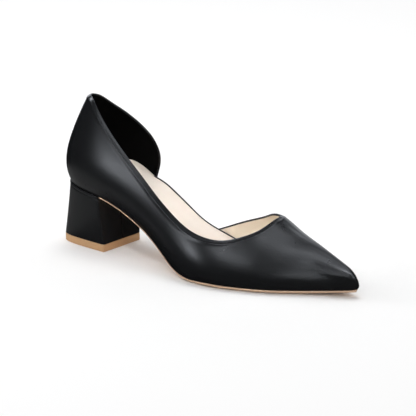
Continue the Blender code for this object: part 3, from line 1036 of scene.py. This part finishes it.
    def build_fold(self, skin: Skin, path: Array) -> None:
        """Folded binding inside the top edge: a rounded strip carried along the rim.

        Args:
            skin: the upper's outer surface.
            path: the top edge.
        """
        at = skin.nearest(path)
        _, out = skin.outwards()
        across, down = skin.normals[at], -unit(out[at])
        near, far = self.leather + self.fold_groove, self.wall + self.fold_proud
        profile = pebble_outline((-far, -near), (-self.fold_rise, self.fold_depth))[::-1]
        length = arc_length(path)
        even = np.linspace(0, length[-1], self.fold_points)
        path, across, down = (at_length(rows, length, even) for rows in (path, across, down))
        self.shop.place("topline_fold", swept(path, across, down, profile), CALF, Slot.UPPER)

    def build_lining(self, name: str, grid: Array, finish: Leather) -> None:
        """Lining over part of the upper's inside.

        Args:
            name: the piece's name.
            grid: that part of the outer surface.
            finish: the lining's leather.
        """
        skin = Skin.from_grid(grid)
        flat = np.zeros(len(skin.normals))
        shape = skin.wall(flat - self.leather - LINING_GAP, flat - self.wall, flat, steps=2)
        self.shop.place(name, shape, finish, Slot.SOCK)


@dataclass
class Bottom:
    """Outsole, wrapped insole board and sock, which follow the twisted bottom of the last."""

    shop: Workshop
    columns: int = 24
    step: float = 0.08
    seat_width: float = 45.0
    seat_dish: float = 2.0
    seat_power: int = 2
    breast_x: float = 38.6
    ball_x: float = 130.0
    waist_x: float = 85.0
    open_back_x: float = 54.0
    open_front_x: float = 112.0
    open_back_ease: float = 18.0
    open_front_ease: float = 26.0
    wall_clearance: float = 2.6
    sole_inset: float = -0.3
    sole_bulge: float = 0.5
    sole_tip_stop: float = 0.02
    sole_waist: float = 0.9
    sole_forepart: float = 2.5
    sole_toe: float = 1.7
    sole_toe_from_x: float = 205.0
    sole_flat_margin: float = 0.15
    sole_undercut: float = 0.35
    sole_crown: float = 0.8
    crown_power: float = 10.0
    board_thick: float = 2.4
    board_toe_x: float = 235.0
    board_inset: float = 0.2
    board_bulge: float = 0.6
    sock_thick: float = 1.2
    sock_toe_x: float = 232.0
    sock_inset: float = 1.1
    sock_bulge: float = 0.35
    cup_rise: float = 6.0
    cup_power: int = 4
    cup_start_x: float = 60.0
    cup_full_x: float = 30.0
    binding_inset: float = 0.65
    binding_half_width: float = 0.6
    binding_half_height: float = 1.0
    binding_back_x: float = 56.0
    binding_front_x: float = 126.0

    def stations(self, start: float, end: float) -> Array:
        """Stations from start to end, close and even."""
        return np.linspace(start, end, int((end - start) / self.step) + 1)

    def openness(self, x: Array) -> Array:
        """1 on the open inner side, easing to 0 where the upper's wall stands."""
        back = smooth_step((x - self.open_back_x) / self.open_back_ease)
        return back * smooth_step((self.open_front_x - x) / self.open_front_ease)

    def dished(self, grid: Array, depth: Array, power: float) -> Array:
        """Sink a grid between its edges by depth (1 - |t|^power), less where it is narrow.

        Args:
            grid: points, rows by columns by 3.
            depth: how deep each row sinks, with t from -1 to 1 across it.
            power: how flat the hollow is.

        Returns:
            The sunk copy.
        """
        sunk = grid.copy()
        width = np.linalg.norm(grid[:, -1] - grid[:, 0], axis=-1)
        hollow = 1 - np.abs(np.linspace(-1, 1, grid.shape[1])) ** power
        sunk[..., 2] -= (depth * np.minimum(width / self.seat_width, 1) ** 2)[:, None] * hollow
        return sunk

    def layer(
        self, stations: Array, rise: Array, wall_inset: float | Array, open_inset: float | Array
    ) -> Array:
        """Grid over the bottom at a rise above the feather line, clear of the wall.

        The bottom is twisted, higher on the medial side, so an edge that is set in follows its slope.

        Args:
            stations: places along the lateral feather line.
            rise: height above it at each.
            wall_inset: distance in from the wall.
            open_inset: distance in from the open inner edge.

        Returns:
            Points, stations by columns by 3, from the lateral to the medial edge.
        """
        lateral_foot = LAST.feather(stations)
        medial_foot = LAST.feather(LAST.twice - stations)
        x = lateral_foot[:, 0]
        width = np.maximum(medial_foot[:, 1] - lateral_foot[:, 1], 1)
        twist = (medial_foot[:, 2] - lateral_foot[:, 2]) / width
        medial_inset = wall_inset + (open_inset - wall_inset) * self.openness(x)
        lateral = LAST.edge(stations, rise, np.broadcast_to(wall_inset, len(stations)))
        medial = LAST.edge(LAST.twice - stations, rise, medial_inset)
        lateral[:, 2] += twist * (lateral[:, 1] - lateral_foot[:, 1])
        medial[:, 2] += twist * (medial[:, 1] - medial_foot[:, 1])
        share = np.linspace(0, 1, self.columns + 1)[:, None]
        grid = lateral[:, None] * (1 - share) + medial[:, None] * share
        fade = 1 - smooth_step((x - self.breast_x) / (self.ball_x - self.breast_x))
        return self.dished(grid, self.seat_dish * fade, self.seat_power)

    def slab(self, top: Array, bottom: Array, bulge: float, steps: int = 5) -> Polygons:
        """Solid between two grids whose edges are rolled over in half rounds.

        Args:
            top: upper face, rows by columns by 3.
            bottom: lower face of the same shape.
            bulge: how far the edges stand out.
            steps: faces round each edge.

        Returns:
            The closed mesh.
        """
        out = unit((top[:, -1] - top[:, 0]) * np.array([1, 1, 0])) * bulge
        medial = half_round(top[:, -1], bottom[:, -1], out, steps).swapaxes(0, 1)
        lateral = half_round(bottom[:, 0], top[:, 0], -out, steps).swapaxes(0, 1)
        rings = np.concatenate([top, medial, bottom[:, ::-1], lateral], 1)
        return Polygons.from_grid(rings, closed=True, capped=True)

    def lowered(self, grid: Array, drop: float | Array) -> Array:
        """Copy of a grid, lower by drop."""
        return grid - np.asarray(drop)[..., None] * UP

    def build(self) -> None:
        """Make the outsole, the board, the sock and its edge."""
        self.build_outsole()
        self.build_board()
        self.build_sock()
        self.build_binding()

    def build_outsole(self) -> None:
        """Outsole: thin at the waist, thicker and flat under the ball, thin again to the toe."""
        start = float(LAST.station(self.breast_x + 2 * GAP))
        stations = self.stations(start, LAST.toe - self.sole_tip_stop)
        x = LAST.feather(stations)[:, 0]
        level = np.zeros(len(x))
        inset = self.sole_inset + self.sole_bulge
        top = self.lowered(self.layer(stations, level, inset, inset), GAP)
        forepart = smooth_step((x - self.waist_x) / (self.ball_x - self.waist_x))
        toe = smooth_step((x - self.sole_toe_from_x) / (LAST.feather_tip[0] - self.sole_toe_from_x))
        thick = self.sole_waist + (self.sole_forepart - self.sole_waist) * forepart
        thick += (self.sole_toe - self.sole_forepart) * toe
        under = inset + self.sole_undercut * thick
        bottom = self.lowered(self.layer(stations, level, under, under), GAP + thick[:, None])
        bottom[..., 2] = np.maximum(bottom[..., 2] - self.sole_flat_margin * forepart[:, None], 0)
        # The tread is rounded off to its edge, which leaves a thin dark line over the floor
        rounded = np.abs(np.linspace(-1, 1, self.columns + 1)) ** self.crown_power
        bottom[..., 2] += self.sole_crown * forepart[:, None] * rounded
        shape = self.slab(top, bottom, self.sole_bulge)
        self.shop.place("tan_outsole", shape, OUTSOLE_RUBBER, Slot.OUTSOLE, "outsole")

    def build_board(self) -> None:
        """Insole board, wrapped in the upper's leather, whose edge shows on the open side."""
        stations = self.stations(0.0, float(LAST.station(self.board_toe_x)))
        rise = np.zeros(len(stations))
        inset = self.board_inset + self.board_bulge
        low = self.layer(stations, rise, self.wall_clearance, inset)
        high = self.layer(stations, rise + self.board_thick, self.wall_clearance, inset)
        shape = self.slab(high, low, self.board_bulge)
        self.shop.place("wrapped_board", shape, CALF, Slot.BOARD, "insole_board")

    def build_sock(self) -> None:
        """Sock: cream lining under the foot, cupped up round the heel."""
        stations = self.stations(0.0, float(LAST.station(self.sock_toe_x)))
        x = LAST.feather(stations)[:, 0]
        rise = np.full(len(x), self.board_thick + GAP)
        inset = self.sock_inset + self.sock_bulge
        cup = self.cup_rise * smooth_step((self.cup_start_x - x) / (self.cup_start_x - self.cup_full_x))
        low = self.layer(stations, rise, self.wall_clearance, inset)
        high = self.layer(stations, rise + self.sock_thick + cup, self.wall_clearance, inset)
        shape = self.slab(self.dished(high, cup, self.cup_power), low, self.sock_bulge)
        self.shop.place("cream_sock", shape, SOCK_LEATHER, Slot.SOCK, "sock")

    def build_binding(self) -> None:
        """Black wrap that stands up along the sock's open edge, a rounded strip carried along it."""
        start, end = LAST.station(self.binding_back_x), LAST.station(self.binding_front_x)
        stations = self.stations(float(start), float(end))
        rise = np.full(len(stations), self.board_thick + self.binding_half_height)
        path = self.layer(stations, rise, self.wall_clearance, self.binding_inset)[:, -1]
        along = unit(np.gradient(path, axis=0))
        across = unit(np.cross(along, UP))
        wide, high = self.binding_half_width, self.binding_half_height
        shape = swept(path, across, np.cross(across, along), pebble_outline((-wide, wide), (-high, high)))
        self.shop.place("sock_edge_wrap", shape, CALF, Slot.BOARD)


@dataclass
class HeelBlock:
    """Flared block heel in the upper's leather, seamed down its breast, on a tan top piece."""

    shop: Workshop
    bottom: Bottom
    breast_top_x: float = 38.6
    breast_foot_x: float = 41.4
    back_foot_x: float = -5.7
    foot_lateral_y: float = -22.0
    foot_medial_y: float = 20.4
    foot_taper: float = 0.22
    foot_squareness: float = 5.0
    top_piece_height: float = 5.5
    top_piece_middle: float = 2.7
    top_piece_ease: float = 0.35
    seat_points: int = 400
    ring_points: int = 420
    seam_points: int = 60
    seam_reach: float = 3.0
    corner_round: float = 4.2
    corner_points: int = 15
    seat_gap: float = 0.5
    seat_outset: float = 0.8
    seam_width: float = 0.5
    seam_depth: float = 0.8
    lip_height: float = 0.35
    lip_at: float = 0.8
    lip_width: float = 0.5
    lip_dip_at: float = 2.1
    lip_share: float = 0.075
    lip_rows: int = 18
    wall_rows: int = 26
    cap_core: float = 0.15
    cap_rows: int = 7

    def foot_width(self, back: Array) -> Array:
        """Share of the breast's half width at a share back of the foot's length, squarely rounded."""
        square = (1 - back**self.foot_squareness) ** (1 / self.foot_squareness)
        return (1 - self.foot_taper * back) * square

    def rings(self) -> tuple[Array, Array, int]:
        """Outline of the heel at its top and at its foot, with rounded breast corners.

        Both run from the breast's lateral corner back along the lateral side, round the back, along
        the medial side and across the breast. Corners are rounded by a moving mean along the ring.

        Returns:
            Top ring, foot ring and the number of the point at the breast's seam.
        """
        stations = np.linspace(0, float(LAST.station(self.breast_top_x)), self.seat_points)
        level = np.zeros(self.seat_points)
        seat = self.bottom.layer(stations, level, -self.seat_outset, -self.seat_outset)
        seat = self.bottom.lowered(seat, self.seat_gap)
        length = self.breast_top_x - LAST.feather_back[0]
        back = np.clip(1 - (LAST.feather(stations)[:, 0] - LAST.feather_back[0]) / length, 0, 1)
        foot_x = self.breast_foot_x + (self.back_foot_x - self.breast_foot_x) * back
        level += self.top_piece_height + GAP
        lateral = np.stack([foot_x, self.foot_lateral_y * self.foot_width(back), level], -1)
        medial = np.stack([foot_x, self.foot_medial_y * self.foot_width(back), level], -1)
        across = np.linspace(0, 1, seat.shape[1])[1:-1, None]
        breast = medial[-1] * (1 - across) + lateral[-1] * across
        top = np.concatenate([seat[::-1, 0], seat[1:, -1], seat[-1, -2:0:-1], seat[-1:, 0]])
        foot = np.concatenate([lateral[::-1], medial[1:], breast, lateral[-1:]])
        length = arc_length(top)
        seam = length[-1] - np.linalg.norm(top[-1] - seat[-1, -1]) / 2
        even = np.linspace(0, length[-1], self.ring_points, endpoint=False)
        close = np.linspace(-self.seam_reach, self.seam_reach, self.seam_points) + seam
        places = np.unique(np.concatenate([even, close]))
        window = np.linspace(-self.corner_round, self.corner_round, self.corner_points)
        spread = np.mod(places[:, None] + window, length[-1])
        weight = np.cos(window / self.corner_round * math.pi / 2) ** 2
        weight /= weight.sum()

        def rounded(ring: Array) -> Array:
            """Moving mean of a ring at the chosen places."""
            return (at_length(ring, length, spread) * weight[:, None]).sum(1)

        return rounded(top), rounded(foot), int(np.argmin(np.abs(places - seam)))

    def outward(self, ring: Array) -> Array:
        """Level unit vectors that point out of a ring.

        Args:
            ring: its points in order.

        Returns:
            One vector for each point.
        """
        along = np.roll(ring, -1, 0) - np.roll(ring, 1, 0)
        out = unit(np.stack([along[:, 1], -along[:, 0], np.zeros(len(ring))], -1))
        facing = np.sign(((ring - ring.mean(0)) * out).sum())
        return out * facing

    def build(self) -> None:
        """Make the covered block, with a lip under its seat and a seam down its breast."""
        top, foot, seam = self.rings()
        near_top = np.linspace(0, self.lip_share, self.lip_rows)
        below = np.linspace(self.lip_share, 1, self.wall_rows)[1:]
        way = np.concatenate([near_top, below])[:, None, None]
        wall = top * (1 - way) + foot * way
        drop = np.linalg.norm(wall - wall[:1], axis=-1)
        along = np.linalg.norm(wall - wall[:, seam : seam + 1], axis=-1)
        groove = self.seam_depth * bell(along, 0.0, self.seam_width)
        lip = bell(drop, self.lip_at, self.lip_width) - bell(drop, self.lip_dip_at, self.lip_width)
        wall = wall + self.outward(foot) * (self.lip_height * lip - groove)[..., None]
        centre = top.mean(0)
        inset = np.linspace(self.cap_core, 1, self.cap_rows)[:, None, None]
        cap = centre + (wall[0] - centre) * inset
        cap[..., 2] = centre[2] + (wall[0, :, 2] - centre[2]) * inset[..., 0] ** 2
        shape = Polygons.from_grid(np.concatenate([cap[:-1], wall])[:, ::-1], closed=True, capped=True)
        self.shop.place("heel_cover", shape, COVER, Slot.HEEL, "heel", sharp_degrees=50)
        self.build_top_piece(foot)

    def build_top_piece(self, foot: Array) -> None:
        """Top piece: the outline of the heel's foot as a slab with eased edges.

        Args:
            foot: that outline.
        """
        ease, top = self.top_piece_ease, self.top_piece_height
        heights = np.array([top, top - ease, self.top_piece_middle, ease, 0.0])
        inset = np.array([ease, 0.0, 0.0, 0.0, ease])
        rings = foot[None] - self.outward(foot)[None] * inset[:, None, None]
        rings[..., 2] = heights[:, None]
        shape = Polygons.from_grid(rings[:, ::-1], closed=True, capped=True)
        finish, slot = TOP_PIECE_RUBBER, Slot.TOP_PIECE
        self.shop.place("tan_top_piece", shape, finish, slot, "top_piece", sharp_degrees=35)


AIM_MM = (125.0, 0.0, 35.0)
TOE_MM = (245.0, -0.5, 14.5)
SOCK_MM = (58.0, 5.0, 50.0)
LINING_MM = (160.0, 20.0, 32.0)


class SoftBox(NamedTuple):
    """Studio light: where it stands as seen from its aim, its size in metres and its brightness.

    The aim is a place on the shoe in millimetres of the last.
    """

    name: str
    azimuth: float
    elevation: float
    distance: float
    width: float
    height: float
    radiance: float
    aim_mm: tuple[float, float, float] = AIM_MM
    spread: float = 180.0

    def watts(self) -> float:
        """Power that gives the box its brightness: radiance times pi times its area."""
        return self.radiance * math.pi * self.width * self.height


@dataclass
class Studio:
    """White paper floor, soft boxes and a long lens at the photograph's angle."""

    shop: Workshop
    azimuth: float = 37.5
    elevation: float = 16.0
    distance_mm: float = 1400.0
    focal_pixels: float = 1985.0
    image_pixels: float = 416.0
    aim_pixel: tuple[float, float] = (213.5, 218.9)
    sensor_mm: float = 36.0
    floor_half: float = 4.0
    card_height: float = 0.002
    world_tone: str = "#E9E9E9"
    world_strength: float = 0.86
    light_tone: str = "#F2F7FF"
    wash_tone: str = "#FFFFFF"
    boxes: tuple[SoftBox, ...] = (
        SoftBox("overhead", 100.0, 76.0, 1.5, 1.0, 0.5, 2.6),
        SoftBox("back", -170.0, 42.0, 1.5, 0.4, 0.4, 2.8),
        SoftBox("ridge", -176.0, 62.0, 1.5, 0.5, 0.24, 1.5),
        SoftBox("quarter_kicker", -31.6, 16.8, 0.36, 0.085, 0.08, 8.4),
        SoftBox("front", -3.0, 42.0, 1.5, 0.36, 0.34, 6.0),
        SoftBox("right", 26.0, 66.0, 1.5, 0.34, 0.34, 5.0),
        SoftBox("toe_kicker", 32.0, 57.0, 0.11, 0.06, 0.03, 11.0, TOE_MM),
        SoftBox("tip_kicker", 75.0, 42.0, 0.12, 0.04, 0.03, 6.0, TOE_MM),
        SoftBox("toe_side_kicker", 11.0, 31.0, 0.12, 0.03, 0.016, 6.0, TOE_MM),
        SoftBox("left", -98.0, 50.0, 1.5, 1.1, 0.5, 8.0),
        SoftBox("backdrop", -142.5, 12.0, 1.5, 1.6, 0.6, 1.4),
    )
    washes: tuple[SoftBox, ...] = (
        SoftBox("sock_wash", 37.5, 45.0, 0.6, 0.1, 0.1, 0.6, SOCK_MM, 14.0),
        SoftBox("lining_wash", 25.0, 40.0, 0.6, 0.1, 0.1, 0.44, LINING_MM, 14.0),
        SoftBox("top_wash", -142.5, 74.0, 2.5, 1.2, 1.2, 5.0),
        SoftBox("left_wash", -75.0, 26.0, 1.2, 0.3, 0.3, 11.0),
    )
    card: SoftBox = SoftBox("bounce_card", -76.0, -7.0, 0.24, 0.2, 0.2, 0.25)

    def direction(self, azimuth: float, elevation: float) -> Array:
        """Unit vector towards a place at that azimuth and elevation; azimuth 0 is in front, at -Y."""
        a, e = math.radians(azimuth), math.radians(elevation)
        return np.array([math.sin(a) * math.cos(e), -math.cos(a) * math.cos(e), math.sin(e)])

    def aimed(self, made: bpy.types.Object, place: Array, target: Array) -> bpy.types.Object:
        """Put a camera or a light at a place and turn it to a target.

        Args:
            made: the camera or light.
            place: where it stands, in metres.
            target: the point that it looks at.

        Returns:
            The same object.
        """
        made.location = place
        made.rotation_euler = Vector(target - place).to_track_quat("-Z", "Y").to_euler()
        bpy.context.collection.objects.link(made)
        return made

    def lamp(self, box: SoftBox, tone: str, place: Array, target: Array) -> bpy.types.Object:
        """Area light for a soft box, unseen by the camera.

        Args:
            box: its size, brightness and spread.
            tone: its colour.
            place: where it stands, in metres.
            target: the point that it shines at.

        Returns:
            The light.
        """
        data = bpy.data.lights.new(box.name, "AREA")
        data.shape = "RECTANGLE"
        data.size, data.size_y, data.energy = box.width, box.height, box.watts()
        data.color = linear(tone)[:3]
        data.spread = math.radians(box.spread)
        made = self.aimed(bpy.data.objects.new(box.name, data), place, target)
        made.visible_camera = False
        return made

    def standing(self, box: SoftBox) -> tuple[Array, Array]:
        """Where a soft box stands and the point that it shines at, in metres."""
        target = (np.array(box.aim_mm) + self.shop.offset) * MM
        return target + self.direction(box.azimuth, box.elevation) * box.distance, target

    def build(self) -> None:
        """Make the floor, the lights, the world and the camera."""
        self.build_floor()
        for box in self.boxes:
            # The leather mirrors the boxes
            self.lamp(box, self.light_tone, *self.standing(box)).visible_diffuse = False
        for box in self.washes:
            # The paper, the pale sock and the lining take the washes
            self.lamp(box, self.wash_tone, *self.standing(box)).visible_glossy = False
        # A pale card flat on the paper beside the heel gives its side and the counter a sheen
        place, _ = self.standing(self.card)
        place[2] = self.card_height
        self.lamp(self.card, self.wash_tone, place, place + UP)
        world = bpy.data.worlds.new("studio")
        world.use_nodes = True
        sky = world.node_tree.nodes["Background"]
        sky.inputs["Color"].default_value = linear(self.world_tone)
        sky.inputs["Strength"].default_value = self.world_strength
        # A dark room with pale walls far off: they fill the shadows, and no leather mirrors them
        world.cycles_visibility.glossy = False
        bpy.context.scene.world = world
        self.build_camera((np.array(AIM_MM) + self.shop.offset) * MM)

    def build_floor(self) -> None:
        """Wide sheet of paper that the shoe stands on."""
        ground = np.array([[[-1, 1], [1, 1]], [[-1, -1], [1, -1]]]) * self.floor_half / MM
        grid = np.concatenate([ground, np.zeros((2, 2, 1))], -1)
        mesh = Polygons.from_grid(grid).mesh("studio_floor", np.zeros(3))
        mesh.materials.append(self.shop.dress(FLOOR_PAPER))
        floor = bpy.data.objects.new("studio_floor", mesh)
        bpy.context.collection.objects.link(floor)
        # The leather mirrors the dim room and not the pale paper
        floor.visible_glossy = False

    def build_camera(self, target: Array) -> None:
        """Long lens at the photograph's angle, shifted so that the aim lands on its pixel.

        Args:
            target: the point aimed at, in metres.
        """
        data = bpy.data.cameras.new("photo_camera")
        data.sensor_width = self.sensor_mm
        data.lens = self.focal_pixels * self.sensor_mm / self.image_pixels
        centre = self.image_pixels / 2
        data.shift_x = (centre - self.aim_pixel[0]) / self.image_pixels
        data.shift_y = (self.aim_pixel[1] - centre) / self.image_pixels
        back = self.direction(self.azimuth, self.elevation)
        place = target + back * self.distance_mm * MM
        camera = self.aimed(bpy.data.objects.new("photo_camera", data), place, target)
        bpy.context.scene.camera = camera
        bpy.context.scene.view_settings.view_transform = "Standard"


def main() -> None:
    """Build the shoe and the studio."""
    logging.basicConfig(level=logging.INFO, format="%(name)s %(message)s")
    corner = np.array(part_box("top_piece")[0]) / MM
    shop = Workshop(corner - np.array([HeelBlock.back_foot_x, HeelBlock.foot_lateral_y, 0.0]))
    Upper(shop).build()
    bottom = Bottom(shop)
    bottom.build()
    HeelBlock(shop, bottom).build()
    Studio(shop).build()


if __name__ == "__main__":
    main()
